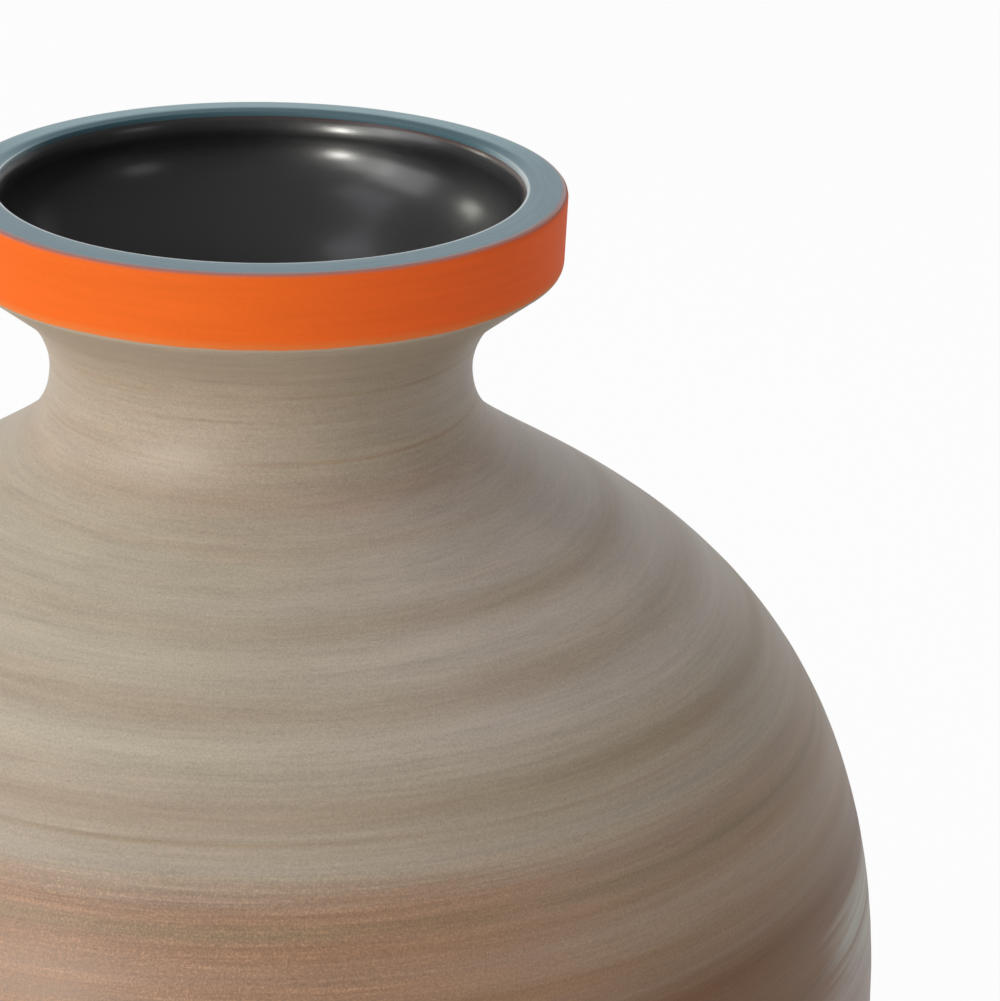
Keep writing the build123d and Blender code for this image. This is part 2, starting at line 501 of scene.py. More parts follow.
def finish_piece(piece, material, slot, *nodes):
    """Smooths a piece, gives it its material and sets what it rides on and stands for."""
    choose(piece)
    bpy.ops.object.shade_smooth_by_angle(angle=math.radians(50))
    piece.data.materials.clear()
    piece.data.materials.append(material)
    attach(piece, "root")
    if nodes:
        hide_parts(*nodes)


def reckoning(operation, swapped=False):
    """A method that adds a Math node on a wire and another value, in either order."""

    def reckon(wire, other):
        values = (other, wire) if swapped else (wire, other)
        return wire.maths(operation, *values)

    return reckon


class Wire:
    """A node's output, which adds Math nodes when it is reckoned with."""

    __add__ = __radd__ = reckoning("ADD")
    __sub__ = reckoning("SUBTRACT")
    __rsub__ = reckoning("SUBTRACT", swapped=True)
    __mul__ = __rmul__ = reckoning("MULTIPLY")
    __truediv__ = reckoning("DIVIDE")
    __pow__ = reckoning("POWER")

    def __init__(self, mixer, socket):
        self.mixer = mixer
        self.socket = socket

    def maths(self, operation, *values):
        """A Math node on values, of which this wire is one."""
        return self.mixer.node("ShaderNodeMath", values, operation=operation)

    def __abs__(self):
        return self.maths("ABSOLUTE", self)

    def ramp(self, start, end, low=0.0, high=1.0):
        """Runs smoothly from low to high while this wire runs from start to end."""
        inputs = (self, start, end, low, high)
        return self.mixer.node("ShaderNodeMapRange", inputs, interpolation_type="SMOOTHSTEP")

    def within(self, low, full_low, full_high, high):
        """One while this wire is between the two inner values, and nothing past the outer."""
        return self.ramp(low, full_low) * self.ramp(high, full_high)


class Mixer:
    """The nodes of one finish, or of the world."""

    def __init__(self, owner, place_output="Object"):
        owner.use_nodes = True
        self.owner = owner
        self.tree = owner.node_tree
        self.tree.nodes.clear()
        self.spot = self.node("ShaderNodeTexCoord", output=place_output)
        axes = [self.node("ShaderNodeSeparateXYZ", (self.spot,), axis) for axis in "XYZ"]
        self.x, self.y, self.height = axes
        self.radius = (self.x * self.x + self.y * self.y) ** 0.5
        self.right = self.x / self.radius
        self.back = self.y / self.radius

    def node(self, kind, inputs=(), output=0, **settings):
        """Adds a node, sets it, feeds its sockets and gives one output as a wire."""
        node = self.tree.nodes.new(kind)
        for key, value in settings.items():
            if key == "stops":
                self.set_stops(node.color_ramp, value)
            else:
                setattr(node, key, value)
        pairs = inputs.items() if isinstance(inputs, dict) else enumerate(inputs)
        for key, value in pairs:
            self.feed(node.inputs[key], value)
        return Wire(self, node.outputs[output]) if node.outputs else None

    def feed(self, socket, value):
        """Links a wire to a socket, or sets the socket's own value."""
        if isinstance(value, Wire):
            self.tree.links.new(value.socket, socket)
        elif socket.type == "RGBA":
            socket.default_value = (*value, 1)
        else:
            socket.default_value = value

    def set_stops(self, ramp, stops):
        """Gives a colour ramp its stops, each a position and a colour."""
        for position, _ in stops[1:-1]:
            ramp.elements.new(position)
        for element, (position, shade) in zip(ramp.elements, stops):
            element.position = position
            element.color = (*shade, 1)

    def blend(self, factor, first, second, mode="MIX"):
        """Two colours mixed by a factor."""
        inputs = {"Factor": factor, 6: first, 7: second}
        return self.node("ShaderNodeMix", inputs, 2, data_type="RGBA", blend_type=mode)

    def washed(self, mask, shade, tint):
        """A colour multiplied by a tint as far as a mask goes."""
        return self.blend(mask, shade, tint, "MULTIPLY")

    def tinted(self, shade, factor):
        """A colour made lighter or darker by a factor."""
        inputs = {0: shade, "Scale": factor}
        return self.node("ShaderNodeVectorMath", inputs, operation="SCALE")

    def noise(self, scale, detail=2.0, roughness=0.5, vector=None):
        """Noise about zero over the piece, or on a vector."""
        inputs = {"Scale": scale, "Detail": detail, "Roughness": roughness}
        inputs["Vector"] = vector or self.spot
        return self.node("ShaderNodeTexNoise", inputs) - 0.5

    def cells(self, scale, output):
        """A reading of scattered cells."""
        return self.node("ShaderNodeTexVoronoi", {"Vector": self.spot, "Scale": scale}, output)

    def streaks(self, turns, spacing, seed, detail=2.0, roughness=0.55, level=None):
        """Brush streaks round the jar, at about a spacing up its height or over a level."""
        across = (level or self.height) * (1 / spacing)
        places = (self.right * turns + seed, self.back * turns, across)
        return self.noise(1, detail, roughness, self.node("ShaderNodeCombineXYZ", places))

    def bump(self, height, strength, distance):
        """A bumped normal from a height."""
        inputs = {"Strength": strength, "Distance": distance, "Height": height}
        return self.node("ShaderNodeBump", inputs)

    def finish(self, base, roughness, normal, **constants):
        """The shader, with constants set on its own sockets."""
        inputs = {"Base Color": base, "Roughness": roughness, "Normal": normal}
        named = {key.replace("_", " "): value for key, value in constants.items()}
        shader = self.node("ShaderNodeBsdfPrincipled", {**inputs, **named})
        self.node("ShaderNodeOutputMaterial", (shader,))
        return self.owner


def new_finish(name):
    """The mixer of a new material."""
    return Mixer(bpy.data.materials.new(name))


# Tints that multiply a colour
pale = (1.05, 1.05, 1.05)
rosy = (0.97, 0.93, 0.9)
ruddy = (0.9, 0.83, 0.8)
olive = (0.84, 0.79, 0.71)
dusk = (0.8, 0.82, 0.75)
moss = (0.78, 0.92, 0.88)
lilac = (1.03, 1.08, 1.14)
tawny = (0.94, 0.89, 0.81)
ash = (0.97, 0.99, 1.04)
russet = (0.92, 0.82, 0.75)
cooling_tint = (1.06, 1.03, 1.12)
# Painted glints: grain lit where the light grazes the left
painted_glint_tint = (1.34, 1.3, 1.22)
blush = (1.05, 0.92, 0.86)
chill = (0.98, 0.97, 1.08)
# Painted sheen tint: the lip warmer towards the back
back_sheen_tint = (1.13, 1.03, 0.94)

# Strokes that stand out in the coat: height, half width, and tints to the left and right
brush_strokes = (
    (0.4335, 0.0020, pale, pale),
    (0.4255, 0.0010, rosy, olive),
    (0.4175, 0.0008, rosy, rosy),
    (0.4052, 0.0006, rosy, russet),
    (0.3960, 0.0030, rosy, rosy),
    (0.3860, 0.0016, rosy, rosy),
    (0.3715, 0.0030, rosy, olive),
    (0.3650, 0.0022, pale, pale),
    (0.3565, 0.0048, ruddy, olive),
    (0.3480, 0.0020, pale, pale),
    (0.3362, 0.0036, ruddy, olive),
    (0.3303, 0.0008, olive, rosy),
    (0.3250, 0.0016, ash, ash),
    (0.3170, 0.0010, ash, ash),
    (0.3102, 0.0022, moss, dusk),
    (0.3055, 0.0022, rosy, tawny),
    (0.2990, 0.0017, ash, lilac),
    (0.2890, 0.0026, rosy, tawny),
    (0.2815, 0.0012, rosy, lilac),
    (0.2740, 0.0018, rosy, tawny),
    (0.2660, 0.0010, rosy, pale),
    (0.2560, 0.0016, dusk, dusk),
    (0.2360, 0.0026, dusk, dusk),
)

# Where each slip lies, from the foot up: height, and its name to the left and to the right
slip_zones = (
    (0.012, "umber", "umber"),
    (0.120, "umber", "umber"),
    (0.190, "plum", "plum"),
    (0.243, "plum", "plum"),
    (0.250, "rust", "brown"),
    (0.274, "rust", "brown"),
    (0.293, "rust", "taupe"),
    (0.316, "rust", "taupe"),
    (0.323, "sand", "sand"),
    (0.337, "sand", "sand"),
    (0.350, "buff", "buff"),
    (0.385, "buff", "buff"),
    (0.398, "neck", "neck"),
    (0.450, "neck", "neck"),
)

# Levels between which the coat turns a cooler, bluer grey on the right, and rougher on the left,
# where it also carries painted glints
cooling_levels = (0.338, 0.352, 0.392, 0.405)
rust_levels = (0.19, 0.25, 0.317, 0.326)

# Levels over which painted shade darkens the coat on the right: under the rim at the neck, and on
# the far right edge above the painted sheen
neck_shade_levels = (0.404, 0.414)
edge_shade_levels = (0.258, 0.27)

# The painted sheen far to the right, a pale lavender band streaked like brushing: its level, and
# half its width where it ends and is full
sheen_level = 0.2535
sheen_halves = (0.015, 0.008)

# Scales of the finest grain and of the pinholes, and the colours of pinholes and iron specks
grain_scale = 1500
pinhole_scale = 75
pinhole_colour = (0.1, 0.07, 0.055)
speck_colour = (0.12, 0.07, 0.045)

# Distances past the rim's widest circle, over the lip and down the wall, of the two changes
blue_to_mauve = (-0.00266, -0.00136)
mauve_to_orange = (-0.00096, 0.00154)

# Distances from the mouth's wall where the lip's paint is darkened by painted shade, and where its
# worn edge carries a painted highlight
shade_reach = (0.0051, 0.002)
highlight_reach = (0.0005, -0.0001)


def slip_ramp(mixer, slips, jar, level, side):
    """The colours of the slips over a level, on one side of the jar."""
    stops = [(zone[0] / jar.lip_height, getattr(slips, zone[side])) for zone in slip_zones]
    return mixer.node("ShaderNodeValToRGB", (level / jar.lip_height,), stops=stops)


def slip_ground(mixer, slips, jar, level, behind):
    """The slips where they lie, before their strokes."""
    left = slip_ramp(mixer, slips, jar, level, 1)
    right = slip_ramp(mixer, slips, jar, level, 2)
    side = (mixer.right + behind * 0.5).ramp(0.15, 0.78)
    shade = mixer.blend(side, left, right)
    # A cooler, bluer grey towards the right
    cooler_right = mixer.right.ramp(-0.2, 0.6) * level.within(*cooling_levels)
    shade = mixer.washed(cooler_right, shade, cooling_tint)
    # Painted shade: the neck under the rim darker on the right, and the far right edge darker
    # against its grazing sheen
    painted_neck_shade = mixer.right.ramp(0, 0.55) * level.ramp(*neck_shade_levels)
    far = mixer.right.ramp(0.82, 0.97) * level.ramp(*edge_shade_levels)
    return mixer.tinted(shade, 1 - painted_neck_shade * 0.12 - far * 0.12)


def with_strokes(mixer, shade, level):
    """A coat with the strokes that stand out in it."""
    patches = mixer.streaks(1.3, 0.02, 5.7)
    turned_right = mixer.right.ramp(-0.2, 0.5)
    for height, half, left, right in brush_strokes:
        mask = abs(level - height).ramp(half * 1.4, half * 0.1) * (0.85 + patches * 1.6)
        shade = mixer.washed(mask, shade, mixer.blend(turned_right, left, right))
    return shade


def brushed_slip(slips, jar):
    """The slips as they were brushed on while the jar turned."""
    mixer = new_finish("brushed_slip")
    wander = mixer.streaks(1.1, 0.06, 3.1)
    smear = mixer.streaks(1.6, 0.005, 8.4)
    bristle = mixer.streaks(1.5, 0.0022, 4.9, 3)
    hair = mixer.streaks(3.5, 0.0009, 6.3, 3, 0.7)
    broad = mixer.streaks(1.2, 0.011, 1.7)
    grain = mixer.noise(grain_scale, 2, 0.7)
    level = mixer.height + wander * 0.006 + smear * 0.006 + hair * 0.002
    stroke_level = mixer.height + wander * 0.003 + bristle * 0.0016 + hair * 0.0009
    behind = mixer.back.ramp(-0.1, 0.6)
    shade = slip_ground(mixer, slips, jar, level, behind)
    shade = with_strokes(mixer, shade, stroke_level)
    rusty = level.within(*rust_levels) * mixer.right.ramp(0.75, -0.1)
    coarse = 1 + rusty * 0.35
    brushed = broad * 0.1 + bristle * 0.22 + hair * 0.42 * coarse
    shade = mixer.tinted(shade, 0.99 - rusty * 0.06 + brushed + grain * 0.66 * coarse)
    # Painted glints: grain lit as the light grazes the rust on the left, partly real coarse grain
    painted_glints = (hair * 1.2 + grain * 2).ramp(-0.1, 0.8) * rusty
    shade = mixer.washed(painted_glints, shade, painted_glint_tint)
    # Painted sheen: a pale lavender band far round to the right, streaked like brushing
    round_right = mixer.right + behind * 0.9 + bristle * 0.12
    painted_sheen = round_right.ramp(0.87, 0.97) * mixer.right.ramp(-0.1, 0.85)
    painted_sheen = painted_sheen * abs(level - sheen_level).ramp(*sheen_halves)
    shade = mixer.blend(painted_sheen * (0.7 + bristle * 3 + hair), shade, slips.painted_sheen_lavender)
    warm = (mixer.streaks(1.3, 0.005, 11.3) * 2.4).ramp(0.1, 0.9, 0, 0.6)
    cool = (mixer.streaks(1.5, 0.012, 15.2) * 2.4).ramp(0.1, 0.9, 0, 0.5)
    shade = mixer.washed(cool, mixer.washed(warm, shade, blush), chill)
    chance = mixer.cells(pinhole_scale, "Color")
    pits = mixer.cells(pinhole_scale, "Distance").ramp(0.035, 0.015) * chance.ramp(0.7, 0.74)
    shade = mixer.blend(pits * 0.45, shade, pinhole_colour)
    relief = bristle * 0.4 + hair * 0.5 + grain * 0.4 - pits * 1.2
    normal = mixer.bump(relief, 0.4, 0.0003)
    roughness = 0.47 + hair * 0.2 + grain * 0.2
    return mixer.finish(shade, roughness, normal, Specular_IOR_Level=0.45)


def rim_edge_blend(mixer, paints, jar, base_orange, base_blue):
    """Orange and blue, and the mauve where they run into each other round the rim's edge."""
    top = jar.lip_height + jar.paint_lift
    wander = mixer.streaks(5, 0.05, 4.2, 3, 0.6)
    behind = mixer.back.ramp(-0.75, 0.15) * jar.paint_lift * 2
    out = mixer.radius - jar.rim_radius
    way = out + top - mixer.height + wander * jar.edge_wander * 1.6 - behind
    mauve = mixer.blend(way.ramp(*blue_to_mauve), base_blue, paints.mauve)
    return mixer.blend(way.ramp(*mauve_to_orange), mauve, base_orange)


def orange_paint(paints, slips, jar):
    """The satin orange of the band, thinner at its lower edge."""
    mixer = new_finish("orange_paint")
    bristle = mixer.streaks(3, 0.0016, 2.2, 3)
    wash = mixer.streaks(1.5, 0.008, 7.5)
    grain = mixer.noise(grain_scale, 2, 0.6)
    # Painted shade: redder orange on the right, away from the warm key light
    orange = mixer.blend(mixer.right.ramp(-0.3, 0.7), paints.orange, paints.painted_shade_vermilion)
    shade = mixer.tinted(orange, 1 + bristle * 0.14 + wash * 0.12 + grain * 0.12)
    wander = mixer.streaks(4, 0.05, 9.1, 3)
    low = jar.lip_height - jar.rim_height
    level = mixer.height + wander * jar.edge_wander * 2 + grain * 0.0006
    thin = level.ramp(low + 0.0034, low + 0.0006)
    shade = mixer.blend(thin * 0.42, shade, paints.ochre)
    end = level.ramp(low + 0.0006, low + 0.0002)
    shade = mixer.blend(end, shade, slips.neck)
    shade = rim_edge_blend(mixer, paints, jar, shade, paints.blue)
    normal = mixer.bump(bristle * 0.5 + grain * 0.4, 0.25, 0.0002)
    roughness = 0.62 + grain * 0.15
    return mixer.finish(shade, roughness, normal, Specular_IOR_Level=0.1)


def blue_grey_paint(paints, jar):
    """The lip's brushed blue grey, mauve where it meets the orange."""
    mixer = new_finish("blue_grey_paint")
    across = mixer.radius - mixer.height
    bristle = mixer.streaks(3, 0.0014, 3.3, 3, level=across)
    hair = mixer.streaks(9, 0.0006, 1.2, 3, 0.65, across)
    grain = mixer.noise(grain_scale, 2, 0.6)
    # Painted sheen: the lip lighter and warmer towards the back, where it mirrors the white sweep
    # at a grazing angle
    light = mixer.back.ramp(0, 0.9, 1, 1.72) + bristle * 0.4 + hair * 0.4 + grain * 0.35
    shade = mixer.washed(mixer.back.ramp(0, 0.9), mixer.tinted(paints.blue, light), back_sheen_tint)
    from_mouth = mixer.radius - (jar.rim_radius - jar.lip_width)
    # Painted shade: deep blue on the lip's inner half at the back, where it mirrors the dim room
    shade_dip = mixer.back.ramp(0.1, 0.7) * from_mouth.ramp(*shade_reach)
    shade = mixer.blend(shade_dip * 0.85, shade, paints.painted_shade_blue)
    # Worn edge and painted highlight: a pale line on the lip's inner edge at the front
    worn_highlight = from_mouth.ramp(*highlight_reach) * mixer.back.ramp(0.6, 0.1) * (0.9 + bristle)
    shade = mixer.blend(worn_highlight, shade, paints.worn_highlight_blue)
    shade = rim_edge_blend(mixer, paints, jar, paints.orange, shade)
    normal = mixer.bump(bristle * 0.6 + hair * 0.6 + grain * 0.3, 0.4, 0.0003)
    roughness = 0.32 + grain * 0.15 + shade_dip * 0.3
    return mixer.finish(shade, roughness, normal, Specular_IOR_Level=0.5)


def black_glaze(paints, jar):
    """The semi-gloss black lining, which breaks its reflections into soft patches."""
    mixer = new_finish("black_glaze")
    mottle = mixer.noise(130, 3, 0.6)
    ridges = mixer.streaks(1.4, 0.005, 5.5, 3)
    pits = mixer.noise(900, 2, 0.6)
    shade = mixer.tinted(paints.glaze, 1 + mottle * 0.8)
    edge = jar.lip_height - jar.lip_drop - jar.bare_line
    thin = mixer.height.ramp(edge - 0.0008, edge - 0.0001)
    shade = mixer.blend(thin * mixer.x.ramp(-0.03, 0.05, 0.05, 0.6), shade, paints.glaze_break)
    waves = mixer.noise(45, 2)
    normal = mixer.bump(waves * 2.4 + mottle * 0.7 + ridges * 0.8 + pits * 0.12, 0.3, 0.0006)
    roughness = 0.46 + mottle * 0.16 + pits * 0.08
    gloss = mixer.back.ramp(0.3, 0.95, 0.4, 1)
    return mixer.finish(
        shade, roughness, normal, Specular_IOR_Level=0.45, Coat_Weight=gloss, Coat_Roughness=0.22
    )


def bare_clay(name, base, speckle):
    """Fired clay with fine grog and iron specks."""
    mixer = new_finish(name)
    grog = mixer.noise(700, 4, 0.7)
    cloud = mixer.noise(40, 2)
    specks = mixer.cells(420, "Distance").ramp(0.16, 0.06) * speckle
    shade = mixer.tinted(base, 1 + grog * 0.3 + cloud * 0.2)
    shade = mixer.blend(specks, shade, speck_colour)
    normal = mixer.bump(grog, 0.4, 0.0003)
    return mixer.finish(shade, 0.85 + grog * 0.2, normal, Specular_IOR_Level=0.25)


class JAR_OT_clay_sections(bpy.types.Operator):
    """Give the thrown sections and the slip in their joints a fired clay finish"""

    bl_idname = "jar.clay_sections"
    bl_label = "Clay sections"

    def execute(self, context):
        paints = context.scene.jar_paints
        clay = bare_clay("bare_clay", paints.clay, 0.6)
        luting = bare_clay("luting_slip", paints.luting, 0.2)
        for name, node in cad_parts.items():
            node.data.materials.clear()
            node.data.materials.append(luting if name.endswith("_seam") else clay)
        return {"FINISHED"}


class JAR_OT_slip_coats(bpy.types.Operator):
    """Brush the three slips over the outside, from the band down to the foot"""

    bl_idname = "jar.slip_coats"
    bl_label = "Slip coats"

    def execute(self, context):
        jar = context.scene.jar_sizes
        top = jar.lip_height - jar.rim_height + jar.rim_corner
        stretches = outer_stretches(jar, jar.coat_lift, top)
        coat = turn(outline("buff_slip_coat", stretches, jar.ring_spacing))
        ruffle(coat, "throwing_ridges", jar.ridge_height, ridge_grain)
        rust = self.part_below(coat, "rust_slip_coat", "shoulder_seam")
        umber = self.part_below(rust, "umber_slip_coat", "belly_seam")
        material = brushed_slip(context.scene.jar_slips, jar)
        slots = {coat: "buff_slip", rust: "rust_slip", umber: "umber_slip"}
        for piece, slot in slots.items():
            thicken(piece, jar.coat_lift + jar.sunk)
            finish_piece(piece, material, slot)
        return {"FINISHED"}

    def part_below(self, coat, name, seam):
        """Separates what lies below a joint of the clay as a coat of its own."""
        low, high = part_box(seam)
        level = (low.z + high.z) / 2
        edit(coat, "FACE")
        select_where(coat, lambda middle: middle.z < level)
        bpy.ops.mesh.separate(type="SELECTED")
        bpy.ops.object.mode_set(mode="OBJECT")
        part = next(piece for piece in bpy.context.selected_objects if piece != coat)
        part.name = name
        part.data.name = name
        return part


class JAR_OT_orange_band(bpy.types.Operator):
    """Paint the band round the rim, over its upper edge"""

    bl_idname = "jar.orange_band"
    bl_label = "Orange band"

    def execute(self, context):
        jar = context.scene.jar_sizes
        lift = jar.paint_lift
        high, _, wall_turn = rim_edge(jar)
        low, _, _ = rim_low_edge(jar)
        upper = arc(high, jar.rim_edge + lift, jar.band_top, wall_turn)
        lower = arc(low, jar.rim_corner + lift, wall_turn, jar.band_low)
        outside = [*upper, straight(upper[-1].end, lower[0].start), *lower]
        inside = [
            on_round(low, jar.rim_corner - jar.sunk, jar.band_low),
            on_round(low, jar.rim_corner - jar.sunk, wall_turn),
            on_round(high, jar.rim_edge - jar.sunk, wall_turn),
            on_round(high, jar.rim_edge - jar.sunk, jar.band_top),
        ]
        band = turn(outline("painted_band", closed(outside, inside), jar.ring_spacing / 2))
        material = orange_paint(context.scene.jar_paints, context.scene.jar_slips, jar)
        finish_piece(band, material, "orange_paint", "orange_band")
        return {"FINISHED"}


class JAR_OT_lip_paint(bpy.types.Operator):
    """Paint the lip, which falls a little towards the mouth, and the first of the wall inside"""

    bl_idname = "jar.lip_paint"
    bl_label = "Lip paint"

    def execute(self, context):
        jar = context.scene.jar_sizes
        lift = jar.paint_lift
        top = jar.lip_height + lift
        mouth = jar.rim_radius - jar.lip_width
        centre, _, _ = rim_edge(jar)
        flat_end = place(centre.x - jar.lip_flat, top)
        edge_start = place(mouth - lift * lip_edge_share, top - jar.lip_fall)
        edge_end = place(mouth - lift, edge_start.z - jar.lip_round)
        fall = math.atan2(2 * jar.lip_fall, flat_end.x - edge_start.x)
        inwards = Vector((-math.cos(fall), 0, -math.sin(fall)))
        down = heading(0)
        reach = jar.lip_flat / 3
        low = jar.lip_height - jar.lip_drop
        outside = [
            *arc(centre, jar.rim_edge + lift, jar.band_top, math.pi / 2),
            straight(place(centre.x, top), flat_end),
            bow(flat_end, Vector((-reach, 0, 0)), edge_start, inwards * reach),
            bow(edge_start, inwards * (jar.lip_round / 5), edge_end, down * (jar.lip_round / 2)),
            straight(edge_end, place(edge_end.x, low)),
        ]
        inside = [
            place(mouth + jar.sunk, low),
            place(mouth + jar.sunk, jar.lip_height - jar.lip_round),
            place(mouth + jar.lip_round, jar.lip_height - jar.sunk),
            place(centre.x, jar.lip_height - jar.sunk),
            on_round(centre, jar.rim_edge - jar.sunk, jar.band_top),
        ]
        lip = turn(outline("painted_lip", closed(outside, inside), jar.ring_spacing / 2))
        material = blue_grey_paint(context.scene.jar_paints, jar)
        finish_piece(lip, material, "blue_grey_paint", "lip_paint")
        return {"FINISHED"}


class JAR_OT_glaze_lining(bpy.types.Operator):
    """Pour the black glaze inside, with a bead where it stops below the lip"""

    bl_idname = "jar.glaze_lining"
    bl_label = "Glaze lining"

    def execute(self, context):
        jar = context.scene.jar_sizes
        mouth = jar.rim_radius - jar.lip_width
        top = place(mouth, jar.lip_height - jar.lip_drop - jar.bare_line)
        swell = place(mouth - jar.glaze_bead, top.z - jar.glaze_bead)
        funnel_top = place(mouth - jar.glaze_lift, jar.lip_height - jar.mouth_depth)
        throat = neck_arc(jar, jar.wall + jar.glaze_lift, 0)
        down = heading(0)
        stretches = [
            bow(top, Vector((-jar.glaze_bead / 2, 0, 0)), swell, down * (jar.glaze_bead / 2)),
            bow(swell, down * jar.glaze_bead, funnel_top, down * jar.glaze_bead),
            swing(funnel_top, 0, throat[0].start, 0, funnel_handle_shares),
            *throat,
            *body_stretches(jar, jar.wall + jar.glaze_lift),
        ]
        # The lining is the largest coat, so its rings lie twice as far apart
        lining = turn(outline("glaze_coat", stretches, jar.ring_spacing * 2), inside=True)
        self.add_floor(lining, jar)
        thicken(lining, jar.glaze_lift + jar.sunk)
        material = black_glaze(context.scene.jar_paints, jar)
        finish_piece(lining, material, "black_glaze", "glaze_lining")
        return {"FINISHED"}

    def add_floor(self, lining, jar):
        """Cuts the lining level at the floor, closes it there and rounds the corner."""
        level = jar.foot_height + jar.floor + jar.glaze_lift
        edit(lining)
        bpy.ops.mesh.select_all(action="SELECT")
        bpy.ops.mesh.bisect(
            plane_co=(0, 0, level), plane_no=(0, 0, 1), use_fill=True, clear_inner=True
        )
        bpy.ops.mesh.select_mode(type="EDGE")
        near = jar.sunk
        select_where(lining, lambda middle: abs(middle.z - level) < near, "edges")
        bpy.ops.mesh.bevel(offset=jar.floor_round * floor_bevel_share, segments=8)
        bpy.ops.mesh.select_mode(type="FACE")
        select_where(lining, lambda middle: middle.xy.length < near and middle.z < jar.foot_radius)
        bpy.ops.mesh.inset(thickness=jar.floor_round)
        bpy.ops.mesh.poke()
        bpy.ops.object.mode_set(mode="OBJECT")


class JAR_OT_foot_ring(bpy.types.Operator):
    """Turn the foot ring, with its wiped lower edges"""

    bl_idname = "jar.foot_ring"
    bl_label = "Foot ring"

    def execute(self, context):
        jar = context.scene.jar_sizes
        top_height = foot_side.z
        outer_low = place(foot_side.x, 0)
        outer_top = place(jar.foot_radius + jar.coat_lift, top_height)
        inner_top = place(outer_top.x - jar.foot_width, top_height)
        inner_low = place(outer_low.x - jar.foot_width, 0)
        out = Vector((jar.foot_edge, 0, 0))
        outer_up = (outer_top - outer_low).normalized() * jar.foot_edge
        inner_up = (inner_top - inner_low).normalized() * jar.foot_edge
        stretches = [
            straight(outer_top, outer_low + outer_up),
            bow(outer_low + outer_up, outer_up / -2, outer_low - out, out / -2),
            straight(outer_low - out, inner_low + out),
            bow(inner_low + out, out / -2, inner_low + inner_up, inner_up / 2),
            straight(inner_low + inner_up, inner_top),
            straight(inner_top, outer_top),
        ]
        ring = turn(outline("turned_foot", stretches, jar.ring_spacing / 2))
        material = bare_clay("foot_clay", context.scene.jar_paints.clay, 0.7)
        finish_piece(ring, material, "bare_clay", "foot_ring")
        return {"FINISHED"}


# Where the bright sweep behind the jar ends upwards, and where it starts towards the back
sweep_heights = (0.49, 0.34)
sweep_depths = (0.4, 0.75)

Softbox = namedtuple("Softbox", "name azimuth elevation distance width height level tint")

# Lamps round the jar: degrees to the right and up, metres, the light that each sheds on the
# jar, and its colour. The glint only shows mirrored in gloss and lights nothing else.
softboxes = (
    Softbox("key_softbox", -52, 16, 2.2, 0.9, 1.1, 0.21, (1.0, 1.0, 0.95)),
    Softbox("hot_core", -36, 12, 2.2, 0.36, 0.48, 0.2, (1.0, 0.985, 0.92)),
    Softbox("glint", -36, 10, 2.2, 0.18, 0.34, 0.2, (1.0, 0.985, 0.9)),
    Softbox("high_softbox", -68, 52, 2.3, 0.9, 0.5, 0.03, (0.95, 0.93, 1.0)),
    Softbox("side_softbox", -72, 25, 2.3, 1.2, 1.1, 0.2, (0.98, 0.97, 1.0)),
    Softbox("rear_softbox", -118, 21, 2.4, 0.45, 0.4, 0.10, (1.0, 1.0, 0.88)),
    Softbox("right_softbox", 59, 24, 2.4, 0.6, 0.5, 0.02, (1.0, 1.0, 1.0)),
)


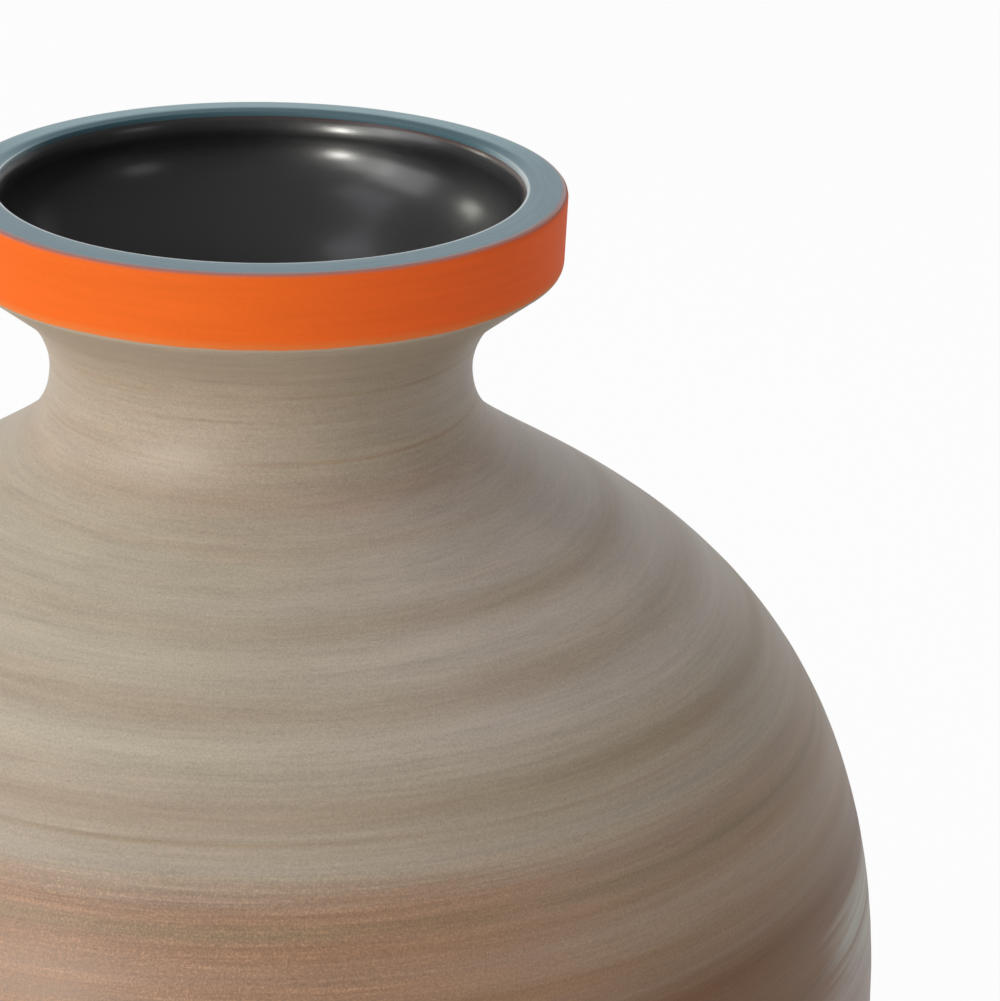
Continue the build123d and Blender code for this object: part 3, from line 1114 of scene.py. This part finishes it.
class JAR_OT_studio(bpy.types.Operator):
    """Set up the white floor, the softboxes and the camera"""

    bl_idname = "jar.studio"
    bl_label = "Studio"

    def execute(self, context):
        studio = context.scene.jar_studio
        context.scene.view_settings.view_transform = "Standard"
        self.add_floor(studio)
        self.set_world(studio)
        aim = Vector((0, 0, belly_side.z))
        for box in softboxes:
            self.add_softbox(box, aim)
        self.add_camera(studio)
        return {"FINISHED"}

    def add_floor(self, studio):
        """A pale floor that looks white and keeps the jar's shadow."""
        leave_all()
        bpy.ops.mesh.primitive_plane_add(size=studio.floor_size)
        floor = bpy.context.object
        floor.name = "studio_floor"
        mixer = new_finish("studio_floor")
        dust = mixer.noise(60, 2)
        pale_floor = mixer.tinted((0.8, 0.8, 0.8), 1 + dust * 0.02)
        matte = mixer.node("ShaderNodeBsdfDiffuse", {"Color": pale_floor})
        white = mixer.node("ShaderNodeEmission", {"Color": (1, 1, 1), "Strength": 1})
        camera = mixer.node("ShaderNodeLightPath", output="Is Camera Ray")
        glossy = mixer.node("ShaderNodeLightPath", output="Is Glossy Ray")
        seen = camera.maths("MAXIMUM", camera, glossy)
        glow = studio.floor_glow + seen * (studio.floor_seen - studio.floor_glow)
        mixed = mixer.node("ShaderNodeMixShader", (glow, matte, white))
        mixer.node("ShaderNodeOutputMaterial", (mixed,))
        floor.data.materials.append(mixer.owner)

    def set_world(self, studio):
        """A white sweep low behind the jar in a dimmer room, seen as a white backdrop."""
        world = bpy.data.worlds.new("studio_world")
        mixer = Mixer(world, "Generated")
        sweep = mixer.height.ramp(*sweep_heights) * mixer.y.ramp(*sweep_depths)
        room = mixer.height.ramp(0, 0.75, studio.room_low, studio.room_high)
        room = room * mixer.x.ramp(0, 0.8, 1, studio.room_right)
        glossy = mixer.node("ShaderNodeLightPath", output="Is Glossy Ray")
        room = room * (1 - glossy * (1 - studio.room_mirrored))
        level = room + sweep * (1 - room)
        camera = mixer.node("ShaderNodeLightPath", output="Is Camera Ray")
        strength = level + camera * (1 - level)
        white = mixer.node("ShaderNodeBackground", {"Color": (1, 1, 1), "Strength": strength})
        mixer.node("ShaderNodeOutputWorld", (white,))
        bpy.context.scene.world = world

    def add_softbox(self, box, aim):
        """One softbox, bright enough to shed its level of light on the jar."""
        away = aimed(math.radians(180 - box.azimuth), math.radians(box.elevation))
        leave_all()
        bpy.ops.object.light_add(type="AREA", location=aim + away * box.distance)
        lamp = bpy.context.object
        lamp.name = box.name
        lamp.rotation_euler = away.to_track_quat("Z", "Y").to_euler()
        lamp.data.shape = "RECTANGLE"
        lamp.data.size = box.width
        lamp.data.size_y = box.height
        lamp.data.color = box.tint
        lamp.data.energy = box.level * (math.pi * box.distance) ** 2
        lamp.visible_diffuse = box.name != "glint"

    def add_camera(self, studio):
        """The camera, turned by its yaw, pitch and roll."""
        roll = studio.camera_roll
        forward = aimed(studio.camera_yaw, -studio.camera_pitch)
        level_right = aimed(studio.camera_yaw + math.pi / 2, 0)
        level_down = forward.cross(level_right)
        right = level_right * math.cos(roll) - level_down * math.sin(roll)
        down = level_right * math.sin(roll) + level_down * math.cos(roll)
        leave_all()
        bpy.ops.object.camera_add(location=studio.camera_place)
        camera = bpy.context.object
        turned = Matrix((right, -down, -forward)).transposed()
        camera.rotation_euler = turned.to_euler()
        camera.data.lens = studio.lens
        camera.data.sensor_fit = "HORIZONTAL"
        bpy.context.scene.camera = camera


steps = (
    JAR_OT_clay_sections,
    JAR_OT_slip_coats,
    JAR_OT_orange_band,
    JAR_OT_lip_paint,
    JAR_OT_glaze_lining,
    JAR_OT_foot_ring,
    JAR_OT_studio,
)


class JAR_PT_dresser(bpy.types.Panel):
    """The steps that dress the jar, and their sizes and colours"""

    bl_idname = "JAR_PT_dresser"
    bl_label = "Jar Dresser"
    bl_space_type = "VIEW_3D"
    bl_region_type = "UI"
    bl_category = "Jar"

    def draw(self, context):
        for step in steps:
            self.layout.operator(step.bl_idname)
        for group in settings:
            box = self.layout.box()
            values = getattr(context.scene, group)
            for name in values.__annotations__:
                box.prop(values, name)


settings = {
    "jar_sizes": JarSizes,
    "jar_slips": JarSlips,
    "jar_paints": JarPaints,
    "jar_studio": JarStudio,
}


def register():
    """Registers the classes and their settings."""
    for cls in (*settings.values(), *steps, JAR_PT_dresser):
        bpy.utils.register_class(cls)
    for name, group in settings.items():
        setattr(bpy.types.Scene, name, PointerProperty(type=group))


def unregister():
    """Takes the settings and classes out again."""
    for name in settings:
        delattr(bpy.types.Scene, name)
    for cls in (JAR_PT_dresser, *reversed(steps), *reversed(settings.values())):
        bpy.utils.unregister_class(cls)


def main():
    """Dresses the jar step by step."""
    register()
    for step in steps:
        group, name = step.bl_idname.split(".")
        getattr(getattr(bpy.ops, group), name)()


if __name__ == "__main__":
    main()
